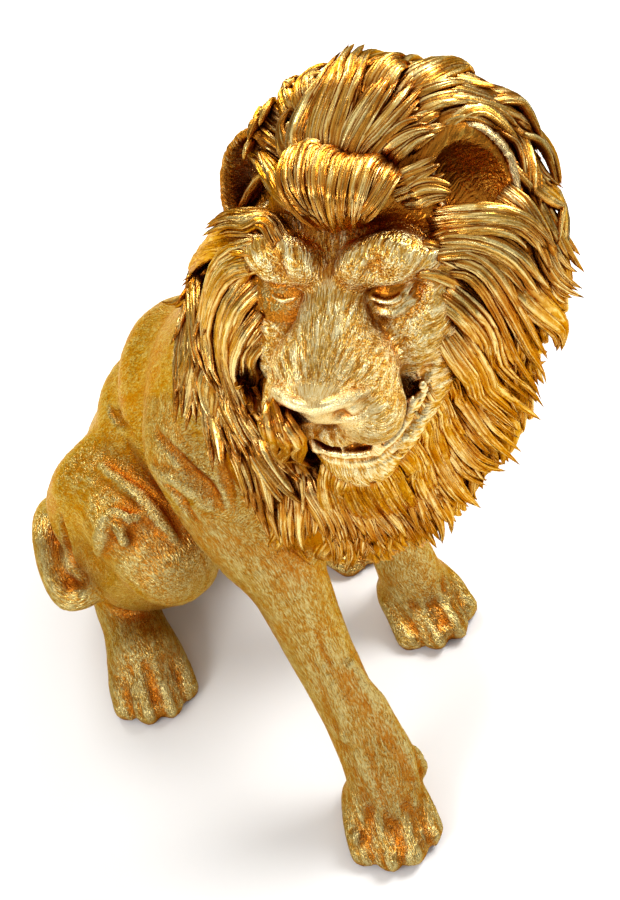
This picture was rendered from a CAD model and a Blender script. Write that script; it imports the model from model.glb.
# Looks of the seated lion: gilt resin skin, combed fur and locks of the mane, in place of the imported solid
import math
import random

import bpy
import numpy as np
from mathutils import Matrix, Vector


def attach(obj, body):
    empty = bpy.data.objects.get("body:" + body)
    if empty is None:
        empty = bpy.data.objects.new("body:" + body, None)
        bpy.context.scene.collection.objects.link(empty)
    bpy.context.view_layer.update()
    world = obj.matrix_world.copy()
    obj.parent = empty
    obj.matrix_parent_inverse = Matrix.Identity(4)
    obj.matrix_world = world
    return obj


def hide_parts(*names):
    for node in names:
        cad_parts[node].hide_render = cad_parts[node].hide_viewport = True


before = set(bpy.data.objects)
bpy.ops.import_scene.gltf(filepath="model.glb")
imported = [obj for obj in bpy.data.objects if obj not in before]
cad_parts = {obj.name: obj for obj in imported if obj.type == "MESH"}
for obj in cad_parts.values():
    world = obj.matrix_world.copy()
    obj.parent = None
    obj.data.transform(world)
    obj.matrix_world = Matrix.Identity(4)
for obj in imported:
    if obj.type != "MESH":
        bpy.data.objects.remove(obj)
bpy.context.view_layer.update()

# The lion is laid out on a grid of its own, scaled to the statue's height, and its soles are ground flat
grid = {"statueHeight": 0.42, "height": 124.3, "middle": (-0.3, 7.5), "soleTrim": 0.0012}
unit = grid["statueHeight"] / grid["height"]

# place between the eyes on the grid, and the head's angles in degrees
headPlace = {"eyes": (-3.7, -25.2, 106.2), "turn": -58.7, "nod": 1.0, "tilt": -5.8, "scale": 0.95}


def toMetres(at):
    return (np.asarray(at) - (*grid["middle"], 0)) * unit - (0, 0, grid["soleTrim"])


def toGrid(at):
    return (np.asarray(at) + (0, 0, grid["soleTrim"])) / unit + (*grid["middle"], 0)


def headMatrix():
    # head coordinates are x to its left, y backwards and z up, from between the eyes
    turn = Matrix.Rotation(math.radians(headPlace["turn"]), 4, "Z")
    nod = Matrix.Rotation(math.radians(headPlace["nod"]), 4, "X")
    tilt = Matrix.Rotation(math.radians(headPlace["tilt"]), 4, "Y")
    return Matrix.Translation(headPlace["eyes"]) @ turn @ nod @ tilt @ Matrix.Scale(headPlace["scale"], 4)


def intoHead(at):
    turn = np.array(headMatrix().to_3x3().normalized())
    return (at - np.array(headPlace["eyes"])) @ turn / headPlace["scale"]


def smoothPath(points, steps):
    # a Catmull-Rom curve through rows of any length
    rows = np.array(points, float)
    ends = np.vstack([2 * rows[0] - rows[1], rows, 2 * rows[-1] - rows[-2]])
    made = []
    for i in range(len(rows) - 1):
        a, b, c, d = ends[i : i + 4]
        t = np.linspace(0, 1, steps, endpoint=False)[:, None]
        made.append(
            0.5 * (2 * b + (c - a) * t + (2 * a - 5 * b + 4 * c - d) * t**2 + (3 * b - a - 3 * c + d) * t**3)
        )
    return np.vstack(made + [rows[-1:]])


def unitRows(rows):
    return rows / np.maximum(np.linalg.norm(rows, axis=1), 1e-6)[:, None]


class Clay:
    # balls and rods, each blended into what is there, or cut from it, over its own fillet

    def __init__(self):
        self.forms = []
        self.stand()

    def stand(self, place=None, side=1):
        # the frame that the next forms are given in; side is -1 for the lion's right, a mirror of its left
        self.place = place or Matrix.Identity(4)
        self.side = side

    def ball(self, centre, radii, turn=(0, 0, 0), fillet=3.0, cut=False):
        place, side = self.place, self.side
        scale = place.to_scale()[0]
        tip, roll, yaw = math.radians(turn[0]), math.radians(side * turn[1]), math.radians(side * turn[2])
        spin = Matrix.Rotation(yaw, 3, "Z") @ Matrix.Rotation(tip, 3, "X") @ Matrix.Rotation(roll, 3, "Y")
        self.forms.append({
            "kind": "ball", "centre": np.array(place @ Vector((side * centre[0], *centre[1:]))),
            "radii": np.array(radii, float) * scale, "axes": np.array(place.to_3x3().normalized() @ spin),
            "reach": max(radii) * scale, "fillet": fillet * scale, "cut": cut,
        })

    def rod(self, points, fillet=3.0, cut=False):
        # each point is x, y, z and the rod's radius there
        scale = self.place.to_scale()[0]
        rows = smoothPath([(self.side * x, *rest) for x, *rest in points], 4)
        line = np.array([self.place @ Vector(row[:3]) for row in rows])
        radii = rows[:, 3] * scale
        centre = (line.min(0) + line.max(0)) / 2
        self.forms.append({
            "kind": "rod", "line": line, "radii": radii, "centre": centre,
            "reach": np.linalg.norm(line - centre, axis=1).max() + radii.max(),
            "fillet": fillet * scale, "cut": cut,
        })

    def outside(self, form, at):
        if form["kind"] == "ball":
            local = (at - form["centre"]) @ form["axes"]
            near = np.linalg.norm(local / form["radii"], axis=1)
            slope = np.linalg.norm(local / form["radii"] ** 2, axis=1)
            return near * (near - 1) / np.maximum(slope, 1e-9)
        line, radii = form["line"], form["radii"]
        least = np.full(len(at), 1e9)
        for a, b, ra, rb in zip(line[:-1], line[1:], radii[:-1], radii[1:]):
            along = b - a
            share = np.clip((at - a) @ along / max(along @ along, 1e-9), 0, 1)
            away = np.linalg.norm(at - a - share[:, None] * along, axis=1)
            least = np.minimum(least, away - ra - share * (rb - ra))
        return least

    def gap(self, at):
        total = np.full(len(at), 1e3)
        for form in self.forms:
            fillet = form["fillet"]
            close = np.linalg.norm(at - form["centre"], axis=1) < form["reach"] + fillet + 3
            if not close.any():
                continue
            old = total[close]
            new = self.outside(form, at[close])
            if form["cut"]:
                old, new = -old, new
            overlap = np.maximum(fillet - np.abs(old - new), 0) / max(fillet, 1e-9)
            joined = np.minimum(old, new) - overlap**2 * fillet / 4
            total[close] = -joined if form["cut"] else joined
        return np.maximum(total, -at[:, 2])

    def settle(self, at, rounds=3):
        step = 0.05
        for _ in range(rounds):
            gap = self.gap(at)
            slope = np.stack([self.gap(at + step * np.eye(3)[i]) - gap for i in range(3)], axis=1) / step
            size = np.maximum((slope**2).sum(1), 0.15)
            at = at - np.clip(gap, -4, 4)[:, None] * slope / size[:, None]
        return at

    def seeds(self):
        for form in self.forms:
            if form["cut"]:
                continue
            if form["kind"] == "ball":
                yield form["centre"], form["radii"], form["axes"]
                continue
            line, radii = form["line"], form["radii"]
            for a, b, ra, rb in zip(line[:-1], line[1:], radii[:-1], radii[1:]):
                count = max(1, math.ceil(np.linalg.norm(b - a) / (0.5 * min(ra, rb))))
                for share in np.arange(count + 1) / count:
                    yield a + share * (b - a), np.full(3, ra + share * (rb - ra)), np.eye(3)


def newPiece(name, points, faces):
    mesh = bpy.data.meshes.new(name)
    mesh.from_pydata([tuple(p) for p in points], [], [tuple(f) for f in faces])
    piece = bpy.data.objects.new(name, mesh)
    bpy.context.scene.collection.objects.link(piece)
    return piece


def readPoints(mesh, field="co"):
    at = np.empty(len(mesh.vertices) * 3, np.float32)
    mesh.vertices.foreach_get(field, at)
    return at.reshape(-1, 3).astype(float)


def readWhole(items, field, width=1):
    values = np.zeros(len(items) * width, dtype=np.int32)
    items.foreach_get(field, values)
    return values


def writePoints(mesh, at):
    mesh.vertices.foreach_set("co", at.astype(np.float32).ravel())
    mesh.update()


def writeAttribute(mesh, name, values, domain="POINT"):
    kind, field = ("FLOAT_VECTOR", "vector") if values.ndim == 2 else ("FLOAT", "value")
    attribute = mesh.attributes.new(name, kind, domain)
    attribute.data.foreach_set(field, values.astype(np.float32).ravel())


def evenOut(mesh, rounds):
    # takes stray points out of the narrow folds
    ends = readWhole(mesh.edges, "vertices", 2).reshape(-1, 2)
    at = readPoints(mesh)
    count = np.bincount(ends.ravel(), minlength=len(at))[:, None]
    for _ in range(rounds):
        total = np.zeros_like(at)
        np.add.at(total, ends[:, 0], at[ends[:, 1]])
        np.add.at(total, ends[:, 1], at[ends[:, 0]])
        at = 0.5 * at + 0.5 * total / count
    writePoints(mesh, at)


def fuse(piece, voxel):
    remesh = piece.modifiers.new("Fuse", "REMESH")
    remesh.mode = "VOXEL"
    remesh.voxel_size = voxel
    graph = bpy.context.evaluated_depsgraph_get()
    made = bpy.data.meshes.new_from_object(piece.evaluated_get(graph))
    piece.modifiers.clear()
    piece.data = made


def ringFaces(start, rings, sides, inwards=False):
    # quads between rings of points that follow one another
    faces = []
    for i in range(rings - 1):
        for j in range(sides):
            a, b = start + i * sides + j, start + i * sides + (j + 1) % sides
            faces.append((a, a + sides, b + sides, b) if inwards else (a, b, b + sides, a + sides))
    return faces


def unitSphere(rings=8, sides=14):
    points = [(0, 0, 1)]
    for i in range(1, rings):
        for j in range(sides):
            up, spin = math.pi * i / rings, 2 * math.pi * j / sides
            points.append((math.sin(up) * math.cos(spin), math.sin(up) * math.sin(spin), math.cos(up)))
    points.append((0, 0, -1))
    faces = [(0, 1 + j, 1 + (j + 1) % sides) for j in range(sides)]
    faces += ringFaces(1, rings - 1, sides, True)
    last = 1 + (rings - 2) * sides
    faces += [(last + j, len(points) - 1, last + (j + 1) % sides) for j in range(sides)]
    return np.array(points), faces


def skinClay(clay, name, voxels):
    # the clay's balls are fused by voxels, and the skin is drawn onto the blended surface after each pass
    ball, ballFaces = unitSphere()
    points, faces = [], []
    for centre, radii, axes in clay.seeds():
        start = len(points) * len(ball)
        points.append(ball * radii @ axes.T + centre)
        faces += [tuple(start + v for v in face) for face in ballFaces]
    piece = newPiece(name, toMetres(np.vstack(points)), faces)
    for voxel in voxels:
        fuse(piece, voxel)
        writePoints(piece.data, toMetres(clay.settle(toGrid(readPoints(piece.data)))))
    return piece


def latticeNoise(at, seed=0):
    # smooth noise from 0 to 1, one value for each cell of a cubic lattice
    cell = np.floor(at)
    part = at - cell
    part = part * part * (3 - 2 * part)
    total = np.zeros(len(at))
    for corner in np.ndindex(2, 2, 2):
        spot = cell + corner
        value = np.sin(spot @ np.array([127.1, 311.7, 74.7]) + seed * 17.3) * 43758.5453
        weight = np.prod(np.where(np.array(corner) == 1, part, 1 - part), axis=1)
        total += weight * (value - np.floor(value))
    return total


def torso(clay):
    clay.stand()
    clay.ball((0, 12.5, 55), (13.5, 16, 19), turn=(-42, 0, 0), fillet=4)
    clay.ball((0, 26, 42), (12.5, 15, 15), turn=(-52, 0, 0), fillet=6)
    clay.ball((0.5, 36, 27.5), (13.5, 13, 15.5), fillet=6)
    clay.ball((0.5, 40, 15), (13.5, 11.5, 14), fillet=6)
    clay.ball((0, -3, 64), (14.5, 14, 19), turn=(0, 0, -20), fillet=6)


def haunch(clay, side):
    # thigh, shin and hock of one hind leg
    clay.stand(side=side)
    clay.ball((12.5, 29, 29), (7.5, 16.5, 14), turn=(-32, 0, -14), fillet=3)
    clay.rod([(11.5, 31, 36, 8.5), (15.5, 18, 41.5, 7.4), (16, 11.5, 40, 6)], fillet=4)
    clay.rod([(16, 13, 38, 5.6), (15, 24, 26, 5.6), (13.5, 36, 13, 5)], fillet=4)
    clay.rod([(12.5, 41, 7, 4.8), (15.5, 34, 5.4, 5), (18, 28, 5, 4.8)], fillet=2.5)


def paw(clay, centre, heading, scale):
    # four toes with claws, spread over a broad sole
    turn = Matrix.Rotation(math.radians(heading), 4, "Z")
    clay.stand(Matrix.Translation(centre) @ turn @ Matrix.Scale(scale, 4))
    clay.ball((0, 1.5, 3.0), (5.8, 6.5, 4.8), fillet=3)
    for spot, reach, lift in ((-4.5, -3.2, 2.3), (-1.6, -5.8, 2.9), (1.7, -5.8, 2.9), (4.5, -3.0, 2.3)):
        spread = spot * 1.06
        clay.rod(
            [(spot * 0.7, reach + 6.5, lift + 2.0, 1.9), (spot, reach + 2.4, lift + 1.5, 2.0),
             (spread, reach - 1.2, lift - 0.6, 2.1)],
            fillet=0.8,
        )
        clay.rod(
            [(spread, reach - 2.8, lift - 0.2, 0.8), (spread * 1.03, reach - 4.3, lift - 1.4, 0.3)],
            fillet=0.3,
        )
    for between in (-3.0, 0, 3.1):
        clay.rod(
            [(between * 0.9, -2, 7.6, 0.4), (between, -6.2, 5.0, 0.45), (between * 1.1, -9, 1.6, 0.45)],
            fillet=1.0, cut=True,
        )


def legs(clay):
    clay.stand()
    clay.rod(
        [(-10, 2, 66, 8.5), (-10.5, -2, 56, 7.4), (-9.6, -7, 46, 5.7), (-9.3, -10, 33, 4.7),
         (-9.3, -14.5, 20, 4.3), (-10, -18.5, 11, 4.6), (-11, -20.5, 6, 4.8)],
        fillet=4,
    )
    clay.ball((-12, -2.5, 49), (3.0, 3.6, 4.4), fillet=3)
    clay.rod(
        [(11, 6, 66, 8.5), (12.5, 8, 56, 7.5), (14.5, 8, 46, 5.8), (16.4, 7, 34, 4.8),
         (17.8, 6.5, 20, 4.4), (18.4, 5, 12, 4.7), (18.6, 4, 6, 5)],
        fillet=4,
    )
    for centre, heading, scale in (
        ((-11.6, -21.0, 0), -26, 1.03),
        ((18.9, 3.2, 0), -14, 1.03),
        ((-19.4, 25.6, 0), -27, 1.0),
        ((19.0, 24.0, 0), 24, 1.0),
    ):
        paw(clay, centre, heading, scale)


def neck(clay):
    clay.stand()
    clay.rod([(0, 2, 70, 14), (0, -8, 84, 13), (1.5, -17, 100, 11)], fillet=8)


def tail(clay):
    clay.stand()
    clay.rod([(-15, 46, 15, 3.5), (-19, 40, 19.5, 2.4), (-19.5, 36, 20, 1.8)], fillet=2)
    clay.rod(
        [(0, 50, 12, 3.6), (-7, 54, 12, 2.9), (-14, 52, 17, 2.4), (-19, 46, 21, 2.1),
         (-22.5, 40.5, 19, 2.0), (-23.5, 36, 17, 1.9), (-20.8, 33, 18, 1.8), (-18.3, 30.5, 22, 1.7),
         (-16.9, 28, 28, 1.7), (-16.2, 26.5, 32, 1.8)],
        fillet=1.2,
    )
    clay.rod([(-16.4, 27, 30, 1.6), (-15.6, 25.4, 34.5, 1.8), (-12.8, 25.0, 36.5, 0.7)], fillet=0.8)
    clay.rod([(-16.4, 27, 30, 1.6), (-16.8, 25.0, 32, 1.7), (-14.8, 24.2, 33.5, 0.7)], fillet=0.8)


def mane(clay):
    # the hair under the locks: a ruff round the face, the back of the head, the nape and the chest
    clay.stand(headMatrix())
    clay.ball((4, 17.5, 1), (15.5, 9.5, 17), fillet=5)
    clay.ball((3.5, 12.5, -7), (19.5, 8.5, 19), fillet=5)
    clay.ball((-12, 7, -12), (6, 6, 14), turn=(0, -8, 0), fillet=4)
    clay.stand()
    clay.ball((1.5, -17, 72), (17, 11.5, 18), turn=(0, 0, -20), fillet=6)
    clay.ball((10, -22, 82), (12, 10, 17), turn=(0, 0, -30), fillet=6)
    clay.ball((4, -9, 84), (11.5, 11, 12), fillet=6)
    clay.stand(headMatrix())
    clay.ball((1.5, 7, 9.5), (6.5, 4, 3.6), fillet=3)


def brow(clay):
    # a frowning brow in two lobes, over an eye that looks down between its lids
    clay.ball((6.2, 2.3, -0.8), (2.6, 2.6, 2.6), fillet=0.3)
    clay.rod(
        [(3.9, 0.1, -0.2, 0.3), (4.8, -0.5, -0.35, 0.36), (5.9, -0.9, -0.6, 0.4),
         (6.9, -0.85, -0.65, 0.42), (7.9, -0.35, -0.45, 0.4), (8.8, 0.9, -0.2, 0.36),
         (9.2, 2.2, 0.0, 0.3)],
        fillet=0.25,
    )
    clay.rod(
        [(4.0, -0.6, -1.4, 0.3), (5.6, -1.2, -2.1, 0.4), (7.2, -1.0, -2.2, 0.4), (8.9, 0.5, -1.6, 0.35)],
        fillet=0.8,
    )
    clay.rod(
        [(3.8, 0.0, 0.9, 0.4), (5.3, -0.3, 1.9, 0.5), (7.1, -0.1, 2.2, 0.55), (8.6, 1.0, 1.8, 0.5),
         (9.6, 2.6, 0.6, 0.4)],
        fillet=0.5,
    )
    clay.rod(
        [(2.4, 0.2, 3.4, 1.2), (3.6, 0.9, 4.8, 1.4), (6.0, 2.2, 5.6, 1.5), (8.6, 2.5, 4.9, 1.5),
         (10.2, 2.7, 2.9, 1.4), (10.2, 2.9, 1.0, 0.9)],
        fillet=1.4,
    )
    clay.ball((8.0, 2.6, 3.6), (2.9, 3.1, 2.4), turn=(0, -14, 0), fillet=1.6)
    clay.ball((3.5, 0.9, 3.5), (2.0, 2.3, 2.3), turn=(0, 14, 0), fillet=1.6)
    clay.ball((5.6, -1.3, 4.4), (0.6, 1.0, 1.1), turn=(0, 30, 0), fillet=0.6, cut=True)
    clay.ball((11.2, 3.6, 2.6), (1.5, 1.7, 1.7), fillet=0.7)


def face(clay):
    place = headMatrix()
    clay.stand(place)
    clay.ball((0, 11, -1), (11.2, 11, 8.5), fillet=3)
    clay.ball((0, 8, 2.0), (7.6, 5.5, 4.4), fillet=2)
    clay.ball((0, 2.8, 1.3), (3.4, 3.8, 2.6), fillet=1.8)
    for side in (-1, 1):
        # forehead behind the brow, and temple
        clay.stand(place, side)
        clay.ball((6.0, 8.2, 1.4), (5.6, 5.8, 5.0), fillet=2)
        clay.ball((11.0, 9.0, -3.0), (4.2, 6.0, 7.0), fillet=2.5)
        # bridge of the nose, top of the muzzle, cheekbone and jowl
        clay.rod(
            [(1.5, 2.4, 0.3, 2.4), (1.8, -3.1, -2.3, 2.8), (2.7, -7.9, -4.8, 2.9),
             (2.7, -11.4, -6.1, 2.2)],
            fillet=2.2,
        )
        clay.ball((3.7, -6.6, -6.4), (4.2, 5.6, 4.3), turn=(14, 0, 10), fillet=2.0)
        clay.rod(
            [(10.6, 4.4, 1.6, 1.4), (11.1, 3.6, -1.4, 2.0), (10.2, 1.2, -4.4, 2.3),
             (8.8, -1.1, -6.8, 2.1), (7.6, -2.4, -9.0, 1.4)],
            fillet=1.8,
        )
        clay.ball((9.8, 5, -9.5), (4.2, 6, 5.5), fillet=3)
        clay.ball((6.4, 1.4, -7.4), (3.6, 4.4, 5.4), fillet=2.2)
        clay.ball((7.6, 0.4, -12.0), (3.0, 4.0, 3.4), fillet=2.0)
    clay.stand(place)
    clay.ball((0, -5.5, -8.5), (6.0, 6.6, 5.0), fillet=2)
    clay.rod(
        [(0, 2.6, 0.8, 2.2), (0, -3.1, -2.0, 2.7), (0, -7.9, -4.3, 2.9), (0, -11.4, -5.9, 2.3)],
        fillet=2.0,
    )
    clay.rod(
        [(0, 6.5, 7.2, 0.6), (0, 3.4, 5.8, 0.8), (0, 0.8, 4.4, 0.6), (0, -1.0, 3.4, 0.3)],
        fillet=1.2, cut=True,
    )
    for side in (-1, 1):
        clay.stand(place, side)
        brow(clay)
        clay.ball((4.4, -9.2, -9.3), (4.3, 4.8, 4.8), turn=(0, 0, 20), fillet=1.0)
    clay.stand(place)
    clay.ball((0, -10.8, -12.2), (2.8, 1.9, 2.6), fillet=1.0)
    clay.ball((-9.6, -1.2, -10.0), (2.6, 3.6, 4.2), fillet=1.5)
    # lower jaw, its lip and the chin
    clay.rod(
        [(-8.6, 3.5, -13.6, 3.6), (-6.2, -2.4, -16.6, 3.0), (-3.6, -7.0, -18.8, 2.6),
         (0, -8.2, -19.4, 2.6), (3.6, -7.0, -18.8, 2.6), (6.2, -2.4, -16.6, 3.0), (8.6, 3.5, -13.6, 3.6)],
        fillet=2.0,
    )
    clay.ball((0, -7.4, -21.0), (4.4, 3.9, 3.6), fillet=2)
    clay.ball((0, -7.2, -15.0), (4.6, 5.4, 0.8), turn=(-8, 0, 0), fillet=0.4, cut=True)
    clay.rod([(-4.2, -8.0, -15.4, 0.8), (0, -9.4, -15.3, 1.0), (4.2, -8.0, -15.4, 0.8)], fillet=0.3)
    for side in (-1, 1):
        clay.stand(place, side)
        clay.rod(
            [(4.4, -8.9, -15.2, 0.8), (6.4, -5.8, -13.9, 0.65), (8.3, -3.7, -12.0, 0.5),
             (9.3, -3.0, -10.8, 0.5)],
            fillet=0.4, cut=True,
        )
        clay.rod(
            [(0, -11.0, -16.5, 0.6), (2.6, -10.6, -16.5, 0.62), (5.0, -8.8, -16.2, 0.7),
             (6.9, -5.8, -14.9, 0.75), (8.9, -3.6, -12.5, 0.75)],
            fillet=0.35,
        )
        clay.rod([(0, -10.9, -18.1, 0.5), (3.0, -10.3, -18.1, 0.55), (5.8, -7.6, -17.4, 0.6)], fillet=0.4)
        # folds of lip over the eye teeth, and the pit at the mouth's corner
        clay.rod([(3.9, -10.4, -16.2, 0.8), (4.3, -10.6, -14.2, 0.5)], fillet=0.4)
        clay.rod([(6.9, -6.4, -14.8, 0.6), (7.8, -5.4, -12.6, 0.7)], fillet=0.6)
    # the right corner is under the mane, the left one shows its pit
    clay.stand(place)
    clay.ball((10.2, -3.4, -10.2), (1.2, 1.5, 1.4), fillet=0.5, cut=True)
    clay.ball((9.2, -4.2, -11.2), (0.6, 0.6, 0.7), fillet=0.6)
    # nose leather with its rolled upper edge, wings, nostrils and the groove below
    clay.ball((0, -12.0, -6.2), (4.5, 2.4, 2.5), turn=(-14, 0, 0), fillet=0.8)
    for side in (-1, 1):
        clay.stand(place, side)
        clay.ball((3.7, -11.8, -5.0), (1.8, 2.1, 1.7), fillet=0.6)
        clay.rod(
            [(0, -14.0, -5.3, 0.62), (2.4, -13.9, -4.4, 0.72), (4.6, -12.9, -3.9, 0.62),
             (5.6, -11.4, -4.6, 0.5)],
            fillet=0.5,
        )
        clay.rod(
            [(1.9, -14.5, -7.0, 0.6), (3.3, -13.8, -6.1, 0.95), (4.7, -12.7, -5.6, 0.85),
             (5.6, -11.7, -6.0, 0.4)],
            fillet=0.4, cut=True,
        )
    clay.stand(place)
    clay.rod(
        [(0, -13.6, -8.3, 0.4), (0, -12.5, -9.4, 1.0), (0, -12.6, -10.8, 0.5), (0, -12.8, -13.6, 0.4)],
        fillet=0.6, cut=True,
    )


# Each ear is a cup: rings of radius and of height along the cup's axis, in shares of its half height
earCup = {
    "centre": (15.3, 12.6, 6.3),
    "right": (1.7, 0.4, -1.4),  # how far in, back and up the lion's right ear sits from there
    "faces": (0.42, -0.76, 0.5),
    "halfHeight": 6.4,
    "halfWidth": 4.9,
    "rings": [
        (0.5, -0.95), (0.86, -0.62), (1.02, -0.3), (1.07, -0.08), (1.06, 0.05), (1.01, 0.13), (0.94, 0.14),
        (0.88, 0.07), (0.85, -0.05), (0.83, -0.2), (0.79, -0.34), (0.7, -0.48), (0.56, -0.58), (0.38, -0.64),
        (0.18, -0.66),
    ],
    "sides": 88,
    "fuzz": 0.016,
}


def earCentre(side):
    x, y, z = earCup["centre"]
    inwards, back, up = earCup["right"] if side < 0 else (0, 0, 0)
    return x - inwards, y + back, z + up


def earPockets(clay):
    for side in (-1, 1):
        clay.stand(headMatrix(), side)
        x, y, z = earCentre(side)
        clay.ball((x + 0.9, y - 2.2, z + 1.0), (5.2, 4.6, 6.0), fillet=0.8, cut=True)


def growEars():
    place = headMatrix()
    pick = random.Random(11)
    points, faces, comb = [], [], []
    for side in (-1, 1):
        axis = Vector((side * earCup["faces"][0], *earCup["faces"][1:])).normalized()
        up = (Vector((0, 0, 1)) - axis * axis.z).normalized()
        wide = axis.cross(up)
        x, y, z = earCentre(side)
        centre = Vector((side * x, y, z))
        sides, tall, broad = earCup["sides"], earCup["halfHeight"], earCup["halfWidth"]
        fuzz = [pick.uniform(-1, 1) * earCup["fuzz"] for _ in range(sides)]
        start, along = len(points), 0.0
        for i, (radius, height) in enumerate(earCup["rings"]):
            along += math.dist((radius, height), earCup["rings"][max(i - 1, 0)]) * tall
            for j in range(sides):
                turn = 2 * math.pi * j / sides
                thick = radius + fuzz[j] * (1 if i < 9 else 0.6)
                rise = height + fuzz[(j + 3 * i) % sides] * 0.7
                # a leaf shape, a little pointed at the top
                lift = 1 + 0.06 * max(0, math.cos(turn)) ** 3
                spot = centre + up * (math.cos(turn) * thick * tall * lift)
                spot = spot + wide * (math.sin(turn) * thick * broad)
                points.append(place @ (spot + axis * rise * tall))
                comb.append((turn * radius * 5 + side * 60, 0, along))
        faces += ringFaces(start, len(earCup["rings"]), sides, side < 0)
        last = start + (len(earCup["rings"]) - 1) * sides
        floor = [last + j for j in range(sides)]
        back = [start + j for j in range(sides)]
        faces += [tuple(floor if side > 0 else reversed(floor)), tuple(reversed(back) if side > 0 else back)]
    made = newPiece("ears", toMetres(np.array([tuple(p) for p in points])), faces)
    writeAttribute(made.data, "comb", np.array(comb) * unit)
    writeAttribute(made.data, "high", np.full(len(points), 0.5))
    print("ears:", sum(len(face) - 2 for face in faces), "triangles")
    return made


# The camera stands to the front right of the lion and looks down on it, with a short roll
view = {"azimuth": -31.59, "elevation": 47.42, "roll": -13.94, "lens": 88.0, "sensor": 36,
        "stands": (-103.08, -173.31, 275.84), "frame": (620, 900)}


def viewMatrix():
    turn = Matrix.Rotation(math.radians(view["azimuth"]), 4, "Z")
    tip = Matrix.Rotation(math.radians(90 - view["elevation"]), 4, "X")
    roll = Matrix.Rotation(math.radians(view["roll"]), 4, "Z")
    return turn @ tip @ roll


def castOnto(clay, pixels, reach=(200, 300)):
    # where the sight lines of the photograph's pixels meet the clay, or pass it closest
    width, height = view["frame"]
    focal = view["lens"] / view["sensor"] * height
    offsets = np.array(pixels, float) - (width / 2, height / 2)
    rays = np.stack([offsets[:, 0], -offsets[:, 1], np.full(len(offsets), -focal)], axis=1)
    rays = unitRows(rays @ np.array(viewMatrix().to_3x3()).T)
    spans = np.arange(reach[0], reach[1], 0.6)
    at = np.array(view["stands"]) + rays[:, None, :] * spans[None, :, None]
    gaps = clay.gap(at.reshape(-1, 3)).reshape(len(rays), -1)
    met = gaps < 0.7
    first = np.where(met.any(axis=1), met.argmax(axis=1), gaps.argmin(axis=1))
    spots = at[np.arange(len(rays)), first]
    settled = clay.settle(spots)
    away = np.linalg.norm(spots - settled, axis=1)[:, None]
    missed = ~met.any(axis=1)[:, None]
    return settled + (spots - settled) * np.minimum(1, 1.5 / np.maximum(away, 1e-6)) * missed


# Relief that the photograph shows on the body: laid on or cut in, its radius, how far it stands out of the
# clay in grid units, and the pixels along it
bodyRelief = {
    "thigh ridge": ("laid", 1.2, 0.2, [(98, 464), (138, 496), (158, 518), (176, 540)]),
    "thigh crease": ("cut", 1.0, 0.1, [(134, 463), (160, 484), (176, 502), (192, 524)]),
    "flank fold": ("laid", 1.2, -0.3, [(104, 444), (150, 470), (184, 488), (208, 512)]),
    "belly crease": ("cut", 1.0, 0.2, [(152, 435), (182, 468), (208, 494), (222, 514)]),
    "hip dent": ("cut", 1.3, 0.8, [(104, 410), (116, 424), (126, 436)]),
    "shoulder edge": ("cut", 1.0, 0.4, [(212, 440), (222, 478), (232, 516)]),
    "tail end": ("laid", 1.5, 0.7, [(58, 602), (76, 590), (85, 574), (94, 557), (99, 540), (104, 524),
        (112, 514)]),
    "upper tuft": ("laid", 0.8, 1.0, [(106, 510), (116, 512), (127, 517), (140, 515)]),
    "lower tuft": ("laid", 0.9, 1.0, [(108, 518), (117, 530), (122, 541), (126, 547)]),
    "tail hollow": ("cut", 1.3, 0.6, [(56, 520), (62, 550), (72, 576)]),
    "wrist bump": ("laid", 1.1, -0.1, [(345, 734), (347, 741)]),
    "outer tendon": ("laid", 1.9, -0.9, [(350, 664), (378, 706), (402, 744), (418, 784)]),
    "inner tendon": ("laid", 1.3, -0.7, [(322, 660), (338, 700), (358, 750), (376, 796)]),
    "leg crease": ("cut", 0.5, 0.2, [(316, 634), (330, 668), (344, 700)]),
    "dewclaw": ("laid", 0.9, 0.1, [(410, 746), (420, 760), (424, 776)]),
    "dewclaw crease": ("cut", 0.5, 0.3, [(402, 752), (411, 768), (417, 784)]),
    "first toe gap": ("cut", 0.65, 0.3, [(358, 790), (367, 822), (366, 842)]),
    "middle toe gap": ("cut", 0.65, 0.3, [(380, 796), (390, 828), (396, 856)]),
    "last toe gap": ("cut", 0.65, 0.3, [(400, 792), (418, 824), (430, 848)]),
    "first claw": ("laid", 0.65, 0.5, [(357, 830), (353, 845)]),
    "second claw": ("laid", 0.65, 0.5, [(386, 856), (388, 872)]),
    "third claw": ("laid", 0.65, 0.5, [(406, 856), (411, 871)]),
    "last claw": ("laid", 0.65, 0.5, [(436, 830), (443, 843)]),
    "hind claws": ("laid", 0.5, 0.3, [(131, 703), (133, 712)]),
    "left toe gap": ("cut", 0.6, 0.3, [(424, 596), (438, 618), (450, 642)]),
    "left outer gap": ("cut", 0.6, 0.3, [(448, 590), (462, 608), (474, 628)]),
}


def addRelief(clay):
    clay.stand()
    lines = [castOnto(clay, smoothPath(track, 4), (240, 400)) for *_, track in bodyRelief.values()]
    for (kind, radius, out, _), line in zip(bodyRelief.values(), lines):
        # where the track steps from one limb to another, its longer run is kept
        breaks = np.flatnonzero(np.linalg.norm(np.diff(line, axis=0), axis=1) > 3.6) + 1
        line = max(np.split(line, breaks), key=len)
        if len(line) < 2:
            continue
        line = line + unitRows(np.array(view["stands"]) - line) * out
        # thinner towards both ends
        share = np.linspace(0, 1, len(line))
        taper = np.interp(share, (0, 0.3, 0.7, 1), np.array((0.6, 1, 1, 0.5)) * radius)
        rows = [(*spot, thick) for spot, thick in zip(line, taper)]
        clay.rod(rows, fillet=0.4 * radius, cut=kind == "cut")


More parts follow.
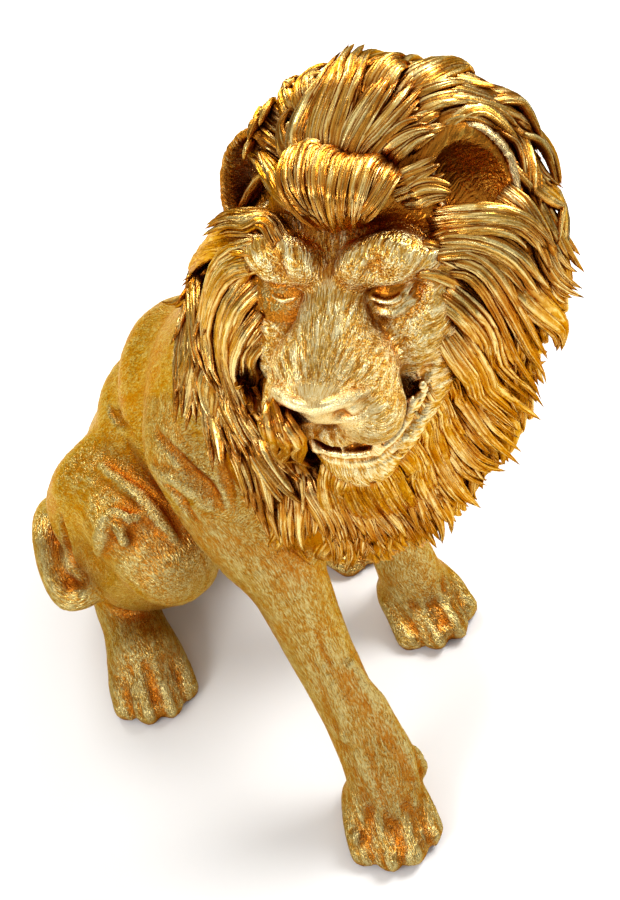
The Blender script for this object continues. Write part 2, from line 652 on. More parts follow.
# Fur guides in grid units: the fur of each place runs along its guide, from the first point to the last
furGuides = {
    "back": [(0, -12, 92), (0, 12, 68), (0, 28, 50), (0, 42, 34), (0, 52, 14)],
    "flankRight": [(-9, -2, 66), (-11, 14, 52), (-11, 28, 36), (-9, 44, 20)],
    "flankLeft": [(9, -2, 66), (11, 14, 52), (11, 28, 36), (9, 44, 20)],
    "chest": [(0, -20, 84), (0, -16, 62), (0, -6, 48), (0, 10, 38), (0, 30, 22)],
    "foreRight": [
        (-10, 2, 66), (-10, -5, 50), (-9.3, -10, 33), (-9.6, -15, 18), (-11, -20, 8), (-14, -28, 2),
    ],
    "foreLeft": [(11, 6, 66), (14, 8, 48), (16.4, 7, 34), (17.8, 6.5, 20), (18.5, 4, 9), (20.5, -6, 2)],
    "thighRight": [(-10, 40, 26), (-13, 32, 36), (-16, 18, 41), (-17, 10, 39)],
    "thighLeft": [(10, 40, 26), (13, 32, 36), (16, 18, 41), (17, 10, 39)],
    "shinRight": [(-17, 12, 37), (-15, 24, 25), (-13.5, 36, 12), (-13, 42, 6)],
    "shinLeft": [(17, 12, 37), (15, 24, 25), (13.5, 36, 12), (13, 42, 6)],
    "footRight": [(-12.5, 43, 6), (-16, 33, 6), (-20, 25, 5), (-24, 17, 2)],
    "footLeft": [(12.5, 43, 6), (16, 33, 6), (20, 25, 5), (24, 17, 2)],
    "tail": [(0, 50, 12), (-7, 54, 12), (-14, 52, 17), (-19, 46, 21), (-22.5, 40.5, 19), (-23.5, 36, 17),
             (-20.8, 33, 18), (-18.3, 30.5, 22), (-16.9, 28, 28), (-15, 25.4, 35)],
}
noseTip = (0, -18, -6)  # where the fur of the head starts from
noseReach = 18  # how far from there its strokes have their true width
furGuideWidth = 3.5  # grid units over which one stretch of a guide hands over to the next


def guideCoordinates(at, guide):
    # place of each point in the guide's own straightened frame, and its distance from the guide
    line = np.array(guide, float)
    sideways = np.array([1.0, 0.3, 0.1])
    arc = 0.0
    total, weights, nearest = np.zeros((len(at), 3)), np.zeros(len(at)), np.full(len(at), 1e9)
    for a, b in zip(line[:-1], line[1:]):
        length = np.linalg.norm(b - a)
        along = (b - a) / length
        sideways = sideways - along * (sideways @ along)
        sideways /= np.linalg.norm(sideways)
        up = np.cross(along, sideways)
        local = at - a
        share = np.clip(local @ along / length, 0, 1)
        away = np.linalg.norm(local - share[:, None] * (b - a), axis=1)
        later = (away - nearest.clip(max=away)) / furGuideWidth
        weight = np.exp(-(later**2)) * np.exp(-away / furGuideWidth) + 1e-12
        total += weight[:, None] * np.stack([local @ sideways, local @ up, arc + local @ along], axis=1)
        weights += weight
        nearest = np.minimum(nearest, away)
        arc += length
    return total / weights[:, None], nearest


def combBody(at):
    # fur coordinates in metres: x and y across the strokes, z along them
    combs, gaps = [], []
    ragged = 2.2 * latticeNoise(at / 3.0, 5)
    for number, guide in enumerate(furGuides.values()):
        place, away = guideCoordinates(at, guide)
        combs.append((place + number * 31) * unit)  # each guide starts its strokes elsewhere
        gaps.append(away + ragged * ((number * 7) % 5 - 2) * 0.5)
    return np.array(combs), np.argmin(gaps, axis=0)


def combHead(at):
    # on the head the fur runs back from the tip of the nose
    local = intoHead(at) - noseTip
    along = np.linalg.norm(local, axis=1)
    way = local / np.maximum(along, 1e-6)[:, None] * noseReach
    return np.stack([way[:, 0], way[:, 2] - 0.6 * way[:, 1], along], axis=1) * unit


# Places without fur, as middles and radii: on the head the nose leather, the eyes and the lips
bareOnHead = [
    ((0, -13.2, -6.0), (6.4, 2.6, 3.2)),
    ((6.7, 0.0, -0.6), (2.9, 2.4, 2.3)),
    ((-6.7, 0.0, -0.6), (2.9, 2.4, 2.3)),
    ((0, -9.6, -17.0), (6.5, 3.0, 2.0)),
    ((0, -6.4, -15.4), (8.0, 6.0, 2.0)),
    ((9.0, -4.0, -12.0), (2.0, 2.4, 2.6)),
    ((-9.0, -4.0, -12.0), (2.0, 2.4, 2.6)),
]
# and places that keep their film: the eyes between their lids
darkOnHead = [((6.5, -0.1, 0.6), (2.1, 1.3, 0.85)), ((-6.6, -0.4, 0.3), (1.5, 1.0, 0.7))]
# width, length and depth in mm of the tufts that a modelling tool presses into the fur
furTufts = {"body": (2.2, 9.0, 0.3), "head": (2.0, 9.0, 0.45)}


def bareness(local, spots):
    bare = np.zeros(len(local))
    for middle, radii in spots:
        near = np.linalg.norm((local - middle) / radii, axis=1)
        bare = np.maximum(bare, np.clip((1.25 - near) / 0.35, 0, 1))
    return bare


def raiseTufts(piece, comb, tufts, bare):
    # short tufts in relief, lying along the fur; says how high each point then is, from 0 to 1
    across, along, depth = tufts
    spots = comb * 1000 / (across, across, along)
    height = 0.65 * latticeNoise(spots, 1) + 0.35 * latticeNoise(spots * (2.1, 2.1, 1.3), 2) - 0.5
    at = readPoints(piece.data)
    raised = (height * (1 - bare) * depth * 2 / 1000)[:, None]
    writePoints(piece.data, at + readPoints(piece.data, "normal") * raised)
    return np.clip(0.5 + 1.4 * height, 0, 1) * (1 - bare) + 0.75 * bare


# Main sweeps of hair that the photograph shows: each group's half width, how far its roots, middles and
# tips stand off, both in grid units, and each sweep's pixels from root to tip
hairSweeps = {
    "forelock": (1.5, (0.2, 3.3, 0.9), [
        [(318, 150), (304, 166), (306, 194), (333, 224)],
        [(332, 148), (316, 162), (316, 194), (336, 228)],
        [(346, 150), (330, 168), (328, 196), (339, 230)],
        [(352, 156), (344, 174), (340, 200), (342, 230)],
        [(368, 156), (357, 174), (350, 200), (345, 227)],
        [(384, 156), (368, 176), (358, 200), (348, 222)],
        [(396, 164), (382, 184), (366, 204), (351, 218)],
    ]),
    "crest": (1.9, (0.8, 2.0, 1.0), [
        [(304, 176), (304, 136), (324, 96), (350, 58)], [(314, 166), (326, 122), (342, 86), (358, 48)],
        [(330, 160), (344, 118), (358, 84), (370, 50)], [(344, 160), (364, 122), (382, 94), (400, 68)],
        [(352, 112), (350, 88), (354, 66), (362, 44)], [(372, 104), (382, 84), (396, 70), (414, 66)],
        [(358, 162), (380, 136), (404, 108), (424, 84)],
    ]),
    "crown": (2.0, (-0.4, 1.5, 1.2), [
        [(292, 168), (288, 142), (290, 124), (300, 110)],
        [(300, 154), (304, 132), (314, 114), (326, 104)],
        [(364, 154), (384, 134), (404, 118), (428, 112)],
        [(376, 160), (396, 142), (418, 130), (440, 128)], [(316, 116), (308, 96), (314, 82), (330, 76)],
        [(302, 118), (294, 102), (298, 92), (310, 86)], [(288, 134), (278, 120), (268, 114), (256, 120)],
        [(284, 152), (272, 134), (258, 128), (244, 134)],
        [(280, 166), (266, 150), (252, 148), (240, 156)],
    ]),
    "overEar": (2.1, (-0.5, 1.1, 0.7), [
        [(392, 96), (428, 76), (456, 72), (474, 84)], [(398, 112), (426, 98), (456, 92), (488, 96)],
        [(410, 100), (448, 92), (490, 104), (520, 128), (538, 168)],
        [(470, 92), (508, 102), (534, 120), (552, 148)], [(500, 116), (526, 138), (544, 162), (556, 192)],
        [(508, 190), (524, 214), (540, 240), (556, 276)],
        [(494, 108), (520, 140), (530, 172), (532, 206)],
        [(518, 150), (536, 182), (552, 206), (560, 238), (558, 266)],
        [(396, 146), (412, 132), (432, 120), (452, 113)],
    ]),
    "temple": (2.0, (-0.5, 1.3, 1.6), [
        [(392, 190), (416, 176), (442, 162)], [(404, 200), (430, 190), (452, 190)],
        [(430, 226), (470, 218), (502, 220), (524, 232), (546, 262)],
        [(440, 240), (480, 242), (508, 254), (528, 276), (546, 300)],
        [(296, 208), (282, 188), (270, 168), (266, 150)],
        [(282, 234), (262, 220), (238, 222), (218, 236)],
    ]),
    "leftSide": (2.4, (-0.5, 1.5, 1.5), [
        [(452, 262), (478, 268), (504, 300), (528, 350), (550, 394)],
        [(500, 262), (532, 296), (554, 322), (566, 356)],
        [(452, 290), (476, 318), (500, 360), (544, 410)],
        [(450, 330), (470, 366), (498, 404), (532, 434)],
        [(444, 362), (462, 396), (484, 428), (514, 456)],
        [(434, 392), (448, 432), (470, 462), (498, 472)],
        [(424, 410), (432, 450), (452, 486), (474, 508)],
        [(410, 440), (418, 480), (436, 510), (444, 540)],
    ]),
    "rightSide": (2.2, (-0.6, 1.2, 1.6), [
        [(250, 236), (218, 240), (202, 270), (198, 310), (202, 350), (214, 380)],
        [(250, 256), (228, 264), (213, 296), (209, 334), (216, 372), (238, 402)],
        [(256, 334), (248, 358), (248, 382), (256, 404)],
        [(250, 282), (236, 302), (227, 332), (229, 362), (238, 390), (248, 412)],
        [(254, 312), (244, 334), (238, 358), (242, 382), (250, 404)],
        [(206, 350), (204, 384), (214, 412), (228, 428)],
        [(222, 384), (232, 410), (246, 434), (256, 446)],
        [(262, 402), (276, 430), (292, 456), (308, 474)],
        [(272, 412), (292, 438), (312, 462), (330, 486)],
        [(246, 420), (262, 452), (282, 480), (300, 500)],
    ]),
    "throat": (2.4, (-0.5, 1.4, 2.2), [
        [(330, 480), (340, 500), (352, 522), (358, 540)],
        [(356, 486), (370, 506), (384, 524), (392, 542)],
        [(384, 480), (400, 504), (416, 524), (426, 540)],
        [(304, 470), (316, 494), (328, 514), (334, 530)],
        [(402, 462), (408, 484), (416, 506), (424, 528)],
        [(412, 452), (420, 476), (430, 500), (440, 520)],
    ]),
}

# The rest of the mane follows the sweeps beside it, and is laid in locks of a few sheaves side by side
maneLocks = {"count": 330, "length": (13, 21), "lift": (1.1, 3.4), "halfWidth": (2.0, 3.0), "sheaves": 4}
faceLocks = {"count": 40, "length": (8, 14), "lift": (0.8, 2.2), "halfWidth": (1.3, 1.9), "sheaves": 3}
# how far back and up on the head each row of nape locks starts, and where its locks stand across
nape = {
    "rows": [(15, 13), (18, 12.2), (20, 11), (22.5, 9), (24, 7), (26, 2), (26, -4)],
    "across": (-9.5, -5.5, -1.8, 1.8, 5.5, 9.5),
}
sweepReach = 4.5  # how far in grid units a sweep steers the hair round it
# points round the top and the underside of a sheaf, rings along it, and how deep its strands are combed
sheafShape = {"lanes": 16, "under": 2, "steps": 13, "groove": 0.26}


class Combing:
    # which way the hair runs, from the sweeps near a place and otherwise out from the face and down

    def __init__(self, clay):
        self.clay = clay
        self.turn = np.array(headMatrix().to_3x3().normalized())
        self.sweeps, spots, ways = [], [], []
        for name, (halfWidth, rise, sweeps) in hairSweeps.items():
            for sweep in sweeps:
                line = smoothPath(castOnto(clay, sweep), 6)
                self.sweeps.append((line, halfWidth, rise))
                if name != "forelock":
                    spots.append(line)
                    ways.append(unitRows(np.gradient(line, axis=0)))
        self.spots, self.ways = np.vstack(spots), np.vstack(ways)

    def way(self, at, normal):
        local = intoHead(at)
        out = unitRows(np.stack([local[:, 0] - 1, np.zeros(len(at)), local[:, 2] + 3], axis=1))
        front = np.clip((19 - local[:, 1]) / 10, 0, 1)[:, None]
        top = np.clip((local[:, 2] - 2) / 14, 0, 1)[:, None]
        way = (out * front + np.array([0, 0.35, 0])) @ self.turn.T
        way = way + np.array([0, 0, -1.0]) * (0.85 + 0.6 * (1 - front)) * (1 - 0.9 * top * front)
        far = np.linalg.norm(at[:, None, :] - self.spots[None], axis=2)
        pull = np.exp(-((far / sweepReach) ** 2))
        way = 0.3 * way + pull @ self.ways
        way -= (way * normal).sum(1)[:, None] * normal
        return unitRows(way)

    def normals(self, at):
        # which way the clay faces there
        reach = 0.4 * np.eye(3)
        slopes = [self.clay.gap(at + reach[i]) - self.clay.gap(at - reach[i]) for i in range(3)]
        return unitRows(np.stack(slopes, axis=1))

    def paths(self, starts, lengths, waves, phases, steps=13):
        # follow the hair from each start, swinging to and fro as it goes
        at, path, normals = np.array(starts), [], []
        for step in range(steps):
            normal = self.normals(at)
            at = at - np.clip(self.clay.gap(at), -3, 3)[:, None] * normal
            path.append(at)
            normals.append(normal)
            way = self.way(at, normal)
            swing = (waves * np.sin(phases + 5.2 * step / steps))[:, None]
            way = way * np.cos(swing) + np.cross(normal, way) * np.sin(swing)
            at = at + way * (lengths / (steps - 1))[:, None]
        return np.array(path).transpose(1, 0, 2), np.array(normals).transpose(1, 0, 2)


def acrossPath(path, normals):
    along = unitRows(np.gradient(path, axis=0))
    across = unitRows(np.cross(along, normals))
    return across, np.cross(across, along)


def resample(rows, spots):
    share = np.linspace(0, 1, len(rows))
    return np.stack([np.interp(spots, share, rows[:, k]) for k in range(rows.shape[1])], axis=1)


class Hair:
    # gathers the sheaves of many locks into one mesh, with their fur coordinates

    def __init__(self, seed):
        self.pick = random.Random(seed)
        self.points, self.faces, self.comb, self.high = [], [], [], []

    def sheaf(self, path, normals, width, height):
        # a closed tapering body: grooved like combed hair over its top, plain where it lies on the clay
        pick, shape = self.pick, sheafShape
        steps = shape["steps"]
        spots = np.linspace(0, 1, steps)
        path, normals = resample(path, spots), resample(normals, spots)
        across, rise = acrossPath(path, normals)
        angles = np.concatenate(
            [np.linspace(0, np.pi, shape["lanes"]), np.linspace(np.pi, 2 * np.pi, shape["under"] + 2)[1:-1]]
        )
        # it widens from its root and closes to a point, and its strands cross over from root to tip
        spread = width * np.minimum(0.6 + 1.3 * spots, 1) * np.clip(1 - spots**2.4, 0, 1) ** 0.75
        tall = height * np.minimum(0.6 + 1.5 * spots, 1) * np.clip(1 - spots**3.0, 0, 1) ** 0.6
        rootGroove = np.array([pick.uniform(-1, 1) for _ in angles])
        tipGroove = np.array([pick.uniform(-1, 1) for _ in angles])
        over = np.clip(np.sin(angles), 0, 1) ** 0.4
        arc = np.concatenate([[0], np.cumsum(np.linalg.norm(np.diff(path, axis=0), axis=1))])
        shift = pick.uniform(0, 60)
        start = len(self.points)
        for i in range(steps - 1):
            groove = (rootGroove * (1 - spots[i]) + tipGroove * spots[i]) * over * shape["groove"]
            ring = (
                path[i]
                + across[i] * (spread[i] * np.cos(angles) * (1 + 0.3 * groove))[:, None]
                + rise[i] * (tall[i] * np.sin(angles) * (1 + groove * 1.6))[:, None]
            )
            self.points += list(ring)
            self.comb += [(spread[0] * 1.4 * a + shift, 0, arc[i]) for a in np.abs(angles - np.pi / 2)]
            self.high += list(0.5 + groove / shape["groove"] * 0.5 - 0.25 * (1 - over))
        self.points.append(path[-1])
        self.comb.append((shift, 0, arc[-1]))
        self.high.append(0.5)
        sides = len(angles)
        self.faces += ringFaces(start, steps - 1, sides)
        last = start + (steps - 2) * sides
        self.faces.append(tuple(start + j for j in range(sides - 1, -1, -1)))
        self.faces += [(last + j, last + (j + 1) % sides, last + sides) for j in range(sides)]

    def lock(self, path, normals, width, sheaves):
        # sheaves side by side that part towards their tips, each of its own length
        across, _ = acrossPath(path, normals)
        share = np.linspace(0, 1, len(path))[:, None]
        fan = self.pick.uniform(0.2, 1.1)
        half = width * (0.22 + 0.78 / sheaves)
        for j in range(sheaves):
            side = 0 if sheaves == 1 else j / (sheaves - 1) * 2 - 1
            gather = 1 - 0.45 * share + fan * 0.55 * share**2
            bend = self.pick.uniform(-0.35, 0.35) * share**2 * width
            lift = 0.3 * self.pick.uniform(-1, 1) - 0.25 * abs(side)
            lift = lift + self.pick.uniform(-0.2, 0.5) * share**2
            line = path + across * (side * (width - half) * gather + bend) + normals * lift
            spots = np.linspace(0, self.pick.uniform(0.8, 1.0), len(path))
            thick = half * self.pick.uniform(0.6, 0.8)
            wide = half * self.pick.uniform(0.85, 1.1)
            self.sheaf(resample(line, spots), resample(normals, spots), wide, thick)

    def laid(self, paths, normals, settings, clear):
        share = np.linspace(0, 1, paths.shape[1])
        for path, normal in zip(paths, normals):
            # locks near one another stand off alike, and some tips turn up
            clump = latticeNoise(path[6:7] / 7.0, 3)[0]
            low, high = settings["lift"]
            lift = low + (high - low) * (0.6 * clump + 0.4 * self.pick.random())
            rise = -0.8 + lift * share**1.2 + self.pick.uniform(0.2, 1.4) * np.clip(share * 4 - 3, 0, 1) ** 2
            line = path + normal * rise[:, None]
            if clear(line):
                self.lock(line, normal, self.pick.uniform(*settings["halfWidth"]), settings["sheaves"])

    def piece(self, name):
        made = newPiece(name, toMetres(np.array(self.points)), self.faces)
        writeAttribute(made.data, "comb", np.array(self.comb) * unit)
        writeAttribute(made.data, "high", np.array(self.high))
        print(name + ":", sum(len(face) - 2 for face in self.faces), "triangles")
        return made


def clearOfEars(path):
    # no lock may cover the cup of an ear
    local = intoHead(path[2:])
    x, y, z = earCup["centre"]
    local[:, 0] = np.abs(local[:, 0])
    return np.linalg.norm(local - (x + 0.8, y - 3.4, z + 1.6), axis=1).min() >= 5.6


def spiralStarts(clay, count):
    # spread evenly over the mane, by walking in along a spiral of directions
    middle = np.array([3.0, -15, 88])
    spin = math.pi * (3 - math.sqrt(5))
    rows = []
    for i in range(count):
        up = 1 - 2 * (i + 0.5) / count
        flat = math.sqrt(1 - up * up)
        rows.append((flat * math.cos(spin * i), flat * math.sin(spin * i), up))
    ways = np.array(rows)
    at = middle + ways * 60
    for _ in range(60):
        at = at - ways * np.clip(clay.gap(at) * 0.8, 0, 6)[:, None]
    return at


def growLocks(combing, hair, starts, settings):
    pick = hair.pick
    starts = np.array(starts)
    lengths = np.array([pick.uniform(*settings["length"]) for _ in starts])
    waves = np.array([pick.uniform(0.25, 0.6) for _ in starts])
    phases = 6.28 * latticeNoise(starts / 11.0, 9) + np.array([pick.uniform(-0.7, 0.7) for _ in starts])
    paths, normals = combing.paths(starts, lengths, waves, phases)
    hair.laid(paths, normals, settings, clearOfEars)


def growMane(combing):
    keep = []
    for at in spiralStarts(combing.clay, maneLocks["count"]):
        x, y, z = intoHead(at)
        inFace = y < 7 and (x / 13) ** 2 + ((z + 7) / 18) ** 2 < 1
        inEar = 5 < y < 15 and math.hypot(abs(x) - 15.5, z - 6.5) < 6.5
        # the mane ends above the elbows, and slants forward from the nape to the chest
        if not inFace and not inEar and at[2] > 55 and at[1] < (at[2] - 88) / 1.2:
            keep.append(at)
    # three pieces, by where the locks start: the lion's right and left of the face, and behind
    middle = np.mean(keep, axis=0)
    around = [math.atan2(x, -y) for x, y, z in intoHead(np.array(keep)) - intoHead(middle[None])]
    order = [at for _, at in sorted(zip(around, range(len(keep))))]
    pieces = []
    for number, part in enumerate(("mane_right", "mane_front", "mane_left")):
        hair = Hair(7 + number)
        share = order[number * len(order) // 3 : (number + 1) * len(order) // 3]
        growLocks(combing, hair, [keep[i] for i in share], maneLocks)
        pieces.append(hair.piece(part))
    return pieces


def growNape(combing):
    # more locks over the back of the head, between the ears
    place = headMatrix()
    spots = [
        (across + 1.2 * (-1) ** number, *row)
        for number, row in enumerate(nape["rows"])
        for across in nape["across"]
    ]
    starts = combing.clay.settle(np.array([tuple(place @ Vector(spot)) for spot in spots]), 8)
    hair = Hair(13)
    growLocks(combing, hair, starts, maneLocks)
    return hair.piece("mane_nape")


def growFringe(combing):
    # short locks that start round the face, from ear to ear under the chin
    place = headMatrix()
    starts = []
    for i in range(faceLocks["count"]):
        turn = math.radians(42 + 276 * i / (faceLocks["count"] - 1))
        spread = 12.6 if turn < math.pi else 11.8
        spot = Vector((spread * math.sin(turn), 4.2 + 2.0 * math.cos(turn), -8.5 + 15.5 * math.cos(turn)))
        starts.append(np.array(place @ spot))
    hair = Hair(3)
    growLocks(combing, hair, starts, faceLocks)
    return hair.piece("face_fringe")


def growSweeps(combing):
    # the locks that lie on the sweeps themselves, proud of the rest
    hair = Hair(5)
    for line, width, (root, middle, tip) in combing.sweeps:
        share = np.linspace(0, 1, len(line))
        normals = combing.normals(line)
        rise = np.interp(share, (0, 0.25, 0.6, 1), (root, 0.8 * middle, middle, tip))
        hair.lock(line + normals * rise[:, None], normals, width * hair.pick.uniform(0.9, 1.15), 5)
    return hair.piece("main_sweeps")


def linearColour(hexText):
    channels = [int(hexText[i : i + 2], 16) / 255 for i in (1, 3, 5)]
    return (*[c / 12.92 if c <= 0.04045 else ((c + 0.055) / 1.055) ** 2.4 for c in channels], 1)


def addNode(tree, kind, settings=None, links=None):
    # settings name a node's properties or inputs; a link comes from a socket, or from a node's first output
    node = tree.nodes.new("ShaderNode" + kind)
    for name, value in (settings or {}).items():
        if hasattr(node, str(name)):
            setattr(node, name, value)
        else:
            node.inputs[name].default_value = value
    for name, source in (links or {}).items():
        socket = source.outputs[0] if isinstance(source, bpy.types.Node) else source
        tree.links.new(socket, node.inputs[name])
    return node


def setRamp(node, stops):
    ramp = node.color_ramp
    while len(ramp.elements) < len(stops):
        ramp.elements.new(0.5)
    for element, (spot, colour) in zip(ramp.elements, stops):
        element.position = spot
        element.color = colour


# Cast resin under gold leaf, combed before casting and rubbed once gilt. The eye sees bright metal on every
# ridge, and a warm dull film that pooled in the hollows and between the strokes
giltColours = {
    "pale": "#FBEBB4", "raised": "#F9E298", "middle": "#D6A748", "dull": "#AC7426",
    "patina": "#B66A1A", "deep": "#743A0A", "grazing": "#EFCF8C",
}
# Each finish has its strokes' width, length and depth in mm, about twice the real ones so that they show
furFinish = {
    "name": "gilt cast resin, brushed fur", "across": 0.7, "along": 3.6, "depth": 0.8,
    "bright": -0.14, "relief": 0.25, "top": "raised", "shade": 0.6, "wear": 0.42,
}
faceFinish = {
    "name": "gilt cast resin, rubbed face", "across": 0.7, "along": 4.0, "depth": 0.8,
    "bright": 0.06, "relief": 0.4, "top": "pale", "shade": 1.0, "wear": 0.35,
}
hairFinish = {
    "name": "gilt cast resin, combed locks", "across": 0.9, "along": 20.0, "depth": 0.6,
    "bright": 0.0, "relief": 0.7, "top": "raised", "shade": 1.0, "wear": 0.12,
}
# The leaf's grain is a third of a millimetre, drawn at 0.6 mm so that it shows. Rubbed patches are about
# 30 mm across, strokes wander over 8 mm, and the film lies in hollows of up to 9 mm
gilding = {"grain": 0.6, "patches": 34.0, "wander": 120.0, "hollow": 0.009, "roughness": (0.2, 0.4)}


def giltResin(finish):
    material = bpy.data.materials.new(finish["name"])
    material.use_nodes = True
    tree = material.node_tree
    tree.nodes.clear()
    comb = addNode(tree, "Attribute", {"attribute_name": "comb"}).outputs["Vector"]
    bare = addNode(tree, "Attribute", {"attribute_name": "bare"}).outputs["Fac"]
    high = addNode(tree, "Attribute", {"attribute_name": "high"}).outputs["Fac"]
    place = addNode(tree, "TexCoord").outputs["Object"]

    # strokes of the comb, drawn long along the fur and narrow across it, that wander a little
    wander = addNode(tree, "TexNoise", {"Scale": gilding["wander"], "Detail": 1.0}, {"Vector": place})
    bent = addNode(
        tree, "VectorMath", {"operation": "MULTIPLY_ADD", 1: (0.002, 0.002, 0.0)},
        {0: wander.outputs["Color"], 2: comb},
    )
    strokes = []
    for share, roughness in ((1.0, 0.5), (0.45, 0.6)):
        across, along = 1000 / (finish["across"] * share), 1000 / (finish["along"] * (0.4 + 0.6 * share))
        scale = (across, across, along)
        stretched = addNode(tree, "VectorMath", {"operation": "MULTIPLY", 1: scale}, {0: bent})
        settings = {"Scale": 1.0, "Detail": 1.0, "Roughness": roughness}
        strokes.append(addNode(tree, "TexNoise", settings, {"Vector": stretched}))
    both = addNode(tree, "Math", {"operation": "MULTIPLY_ADD", 1: 0.3}, {0: strokes[1], 2: strokes[0]})
    ridge = addNode(tree, "Math", {"operation": "MULTIPLY_ADD", 1: finish["relief"]}, {0: high, 2: both})

    # edges are rubbed bright, and folds keep their film
    edge = addNode(tree, "NewGeometry").outputs["Pointiness"]
    wear = finish["wear"]
    worn = addNode(
        tree, "MapRange", {"From Min": 0.44, "From Max": 0.56, "To Min": -wear, "To Max": wear},
        {"Value": edge},
    )
    tone = addNode(tree, "Math", {"operation": "MULTIPLY_ADD", 1: 0.5}, {0: worn, 2: ridge})
    low = 0.38 + finish["relief"] / 2
    crest = addNode(tree, "MapRange", {"From Min": low, "From Max": low + 0.54}, {"Value": tone})

    grain = addNode(tree, "TexNoise", {"Scale": 1000 / gilding["grain"], "Detail": 1.0}, {"Vector": place})
    cloud = addNode(tree, "TexNoise", {"Scale": gilding["patches"], "Detail": 3.0}, {"Vector": place})
    hollow = addNode(tree, "AmbientOcclusion", {"samples": 8, "Distance": gilding["hollow"]})
    clear = addNode(tree, "MapRange", {"From Min": 0.38, "From Max": 0.95}, {"Value": hollow.outputs["AO"]})

    gold = addNode(tree, "ValToRGB", None, {"Fac": crest})
    tones = []
    for spot, name in ((0.0, "dull"), (0.4, "middle"), (1.0, finish["top"])):
        shaded = [min(1, part * finish["shade"]) for part in linearColour(giltColours[name])[:3]]
        tones.append((spot, (*shaded, 1.0)))
    setRamp(gold, tones)
    film = addNode(tree, "ValToRGB", None, {"Fac": clear})
    setRamp(film, [(0.0, linearColour(giltColours["deep"])), (0.6, linearColour(giltColours["patina"]))])

    # the film shows in the hollows and in the troughs between strokes, less where the gold was rubbed
    patchy = addNode(
        tree, "Math", {"operation": "MULTIPLY_ADD", 1: 1.1, 2: finish["bright"] - 0.55}, {0: cloud}
    )
    rubbed = addNode(tree, "Math", {"operation": "ADD"}, {0: patchy, 1: worn})
    lit = addNode(tree, "Math", {"operation": "MULTIPLY_ADD", 1: 0.75}, {0: crest, 2: rubbed})
    inLight = addNode(tree, "Math", {"operation": "MULTIPLY_ADD", 1: 0.9, 2: -0.35}, {0: clear})
    shown = addNode(tree, "Math", {"operation": "ADD", "use_clamp": True}, {0: lit, 1: inLight})
    kept = addNode(tree, "Math", {"operation": "MULTIPLY", "use_clamp": True}, {0: shown, 1: clear})
    colour = addNode(tree, "Mix", {"data_type": "RGBA"}, {0: kept, 6: film, 7: gold})
    smooth, rough = gilding["roughness"]
    sheen = addNode(
        tree, "MapRange", {"From Min": 0.3, "From Max": 0.7, "To Min": smooth, "To Max": rough},
        {"Value": grain},
    )

    # bare places keep a tenth of the strokes
    depth = addNode(tree, "Math", {"operation": "SUBTRACT", 0: 1.12}, {1: bare})
    cut = addNode(tree, "Math", {"operation": "MULTIPLY"}, {0: both, 1: depth})
    height = addNode(tree, "Math", {"operation": "MULTIPLY_ADD", 1: 0.16}, {0: grain, 2: cut})
    bump = addNode(tree, "Bump", {"Strength": 1.0, "Distance": finish["depth"] / 1000}, {"Height": height})
    shader = addNode(
        tree, "BsdfPrincipled", {"Metallic": 1.0, "Specular Tint": linearColour(giltColours["grazing"])},
        {"Base Color": colour.outputs[2], "Roughness": sheen, "Normal": bump},
    )
    addNode(tree, "OutputMaterial", None, {"Surface": shader})
    return material


def dress(piece, material):
    piece.data.materials.clear()
    piece.data.materials.append(material)
    piece.data.polygons.foreach_set("use_smooth", [True] * len(piece.data.polygons))
    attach(piece, "root")
    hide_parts("lion")


# Voxels in metres of each skin's two passes: the body ends at nearly 2 mm, the face finer for lids and lips
skins = {"bodyVoxels": (0.0034, 0.0019), "faceVoxels": (0.0022, 0.001), "coreVoxels": (0.004, 0.003)}


def shapeFace():
    clay = Clay()
    face(clay)
    head = skinClay(clay, "lion_face", skins["faceVoxels"])
    evenOut(head.data, 2)
    at = toGrid(readPoints(head.data))
    comb, bare = combHead(at), bareness(intoHead(at), bareOnHead)
    high = raiseTufts(head, comb, furTufts["head"], bare)
    writeAttribute(head.data, "high", high - 2.6 * bareness(intoHead(at), darkOnHead))
    writeAttribute(head.data, "comb", comb)
    writeAttribute(head.data, "bare", bare)
    print("face skin:", len(head.data.polygons) * 2, "triangles")
    return head


def shapeManeCore():
    # what shows deep between the locks
    clay = Clay()
    neck(clay)
    mane(clay)
    earPockets(clay)
    core = skinClay(clay, "mane_core", skins["coreVoxels"])
    at = toGrid(readPoints(core.data))
    writeAttribute(core.data, "comb", combHead(at))
    writeAttribute(core.data, "high", np.zeros(len(at)))
    print("mane core:", len(core.data.polygons) * 2, "triangles")
    return core


def shapeBody():
    clay = Clay()
    torso(clay)
    neck(clay)
    for side in (-1, 1):
        haunch(clay, side)
    legs(clay)
    tail(clay)
    addRelief(clay)
    body = skinClay(clay, "lion_body", skins["bodyVoxels"])
    evenOut(body.data, 1)
    at = toGrid(readPoints(body.data))
    combs, nearest = combBody(at)
    comb, bare = combs[nearest, np.arange(len(at))], np.zeros(len(at))
    high = raiseTufts(body, comb, furTufts["body"], bare)
    writeAttribute(body.data, "high", high)
    # every face keeps to one guide, so no stroke is torn where two of them meet
    corners = readWhole(body.data.loops, "vertex_index")
    starts = readWhole(body.data.polygons, "loop_start")
    guideOfCorner = np.repeat(nearest[corners[starts]], readWhole(body.data.polygons, "loop_total"))
    writeAttribute(body.data, "comb", combs[guideOfCorner, corners], "CORNER")
    writeAttribute(body.data, "bare", bare)
    # the soles are ground flat
    writePoints(body.data, np.maximum(readPoints(body.data), (-1, -1, 0)))
    print("body skin:", len(body.data.polygons) * 2, "triangles")
    return body


def combedClay():
    # what the hair lies on
    clay = Clay()
    torso(clay)
    neck(clay)
    mane(clay)
    face(clay)
    return clay


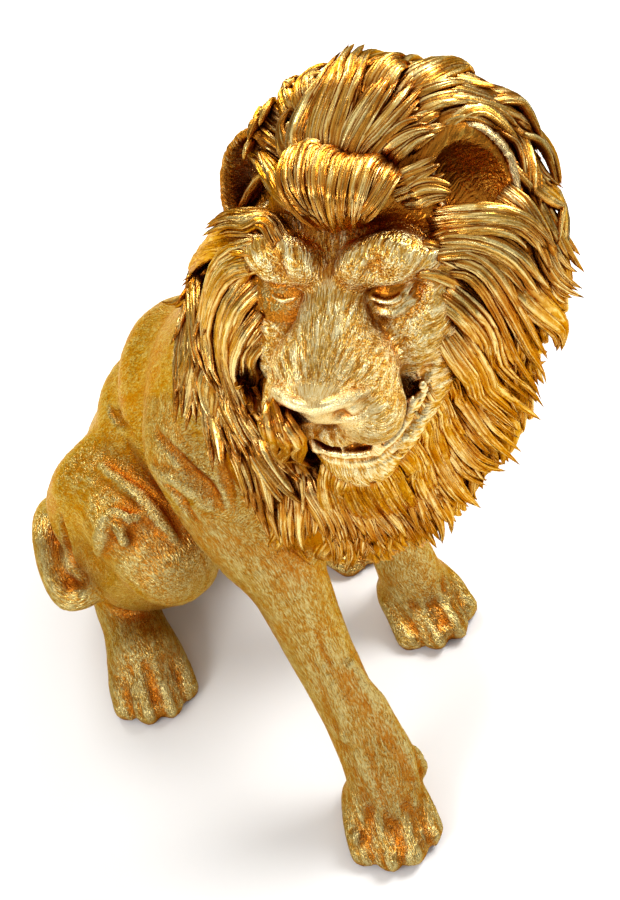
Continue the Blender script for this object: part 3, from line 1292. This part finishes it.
# Stage, camera and light
studio = {
    "floor": "#F1F0EE",
    "floorSize": 6.0,
    "softboxes": {  # place, width and watts
        "key softbox": ((0.9, -0.3, 1.3), 0.7, 19.0),
        "side softbox": ((-1.2, -0.2, 0.8), 0.6, 8.0),
        "back softbox": ((0.3, 1.2, 1.0), 0.6, 13.0),
    },
    "tent": ((0.0, 0.24), (0.15, 0.3), (0.55, 0.75), (1.0, 1.0)),  # height and grey of the surroundings
    "tentStrength": 0.92,
}


def paleFloor():
    # matt paper, with no glint: only the soft shadow shows on it
    size = studio["floorSize"] / 2
    corners = [(-size, -size, 0), (size, -size, 0), (size, size, 0), (-size, size, 0)]
    floor = newPiece("studio_floor", corners, [(0, 1, 2, 3)])
    material = bpy.data.materials.new("matt white paper sweep")
    material.use_nodes = True
    shader = material.node_tree.nodes["Principled BSDF"]
    shader.inputs["Base Color"].default_value = linearColour(studio["floor"])
    shader.inputs["Roughness"].default_value = 0.9
    floor.data.materials.append(material)


def softLight(name, place, size, watts):
    data = bpy.data.lights.new(name, "AREA")
    data.shape = "DISK"
    data.size = size
    data.energy = watts
    light = bpy.data.objects.new(name, data)
    bpy.context.scene.collection.objects.link(light)
    light.location = place
    light.rotation_euler = (Vector((0, 0, 0.2)) - Vector(place)).to_track_quat("-Z", "Y").to_euler()


def photoCamera():
    data = bpy.data.cameras.new("photo camera")
    data.sensor_width = view["sensor"]
    data.lens = view["lens"]
    camera = bpy.data.objects.new("photo camera", data)
    bpy.context.scene.collection.objects.link(camera)
    camera.matrix_world = Matrix.Translation(toMetres(view["stands"])) @ viewMatrix()
    bpy.context.scene.camera = camera


def studioWorld():
    world = bpy.data.worlds.new("soft studio")
    bpy.context.scene.world = world
    world.use_nodes = True
    tree = world.node_tree
    tree.nodes.clear()
    # darker round the floor and light overhead, as in a tent of white cloth
    parts = addNode(tree, "SeparateXYZ", None, {"Vector": addNode(tree, "TexCoord").outputs["Generated"]})
    fade = addNode(tree, "ValToRGB", None, {"Fac": parts.outputs["Z"]})
    setRamp(fade, [(height, (grey, grey, grey, 1)) for height, grey in studio["tent"]])
    back = addNode(tree, "Background", {"Strength": studio["tentStrength"]}, {"Color": fade})
    addNode(tree, "OutputWorld", None, {"Surface": back})


combing = Combing(combedClay())
brushedFur = giltResin(furFinish)
combedLocks = giltResin(hairFinish)
rubbedFace = giltResin(faceFinish)
dress(shapeBody(), brushedFur)
dress(shapeFace(), rubbedFace)
dress(shapeManeCore(), combedLocks)
dress(growEars(), rubbedFace)
for locks in (*growMane(combing), growNape(combing), growFringe(combing), growSweeps(combing)):
    dress(locks, combedLocks)
print("pieces dressed")

paleFloor()
photoCamera()
studioWorld()
for name, (place, size, watts) in studio["softboxes"].items():
    softLight(name, place, size, watts)
bpy.context.scene.view_settings.view_transform = "Standard"
print("stage set")
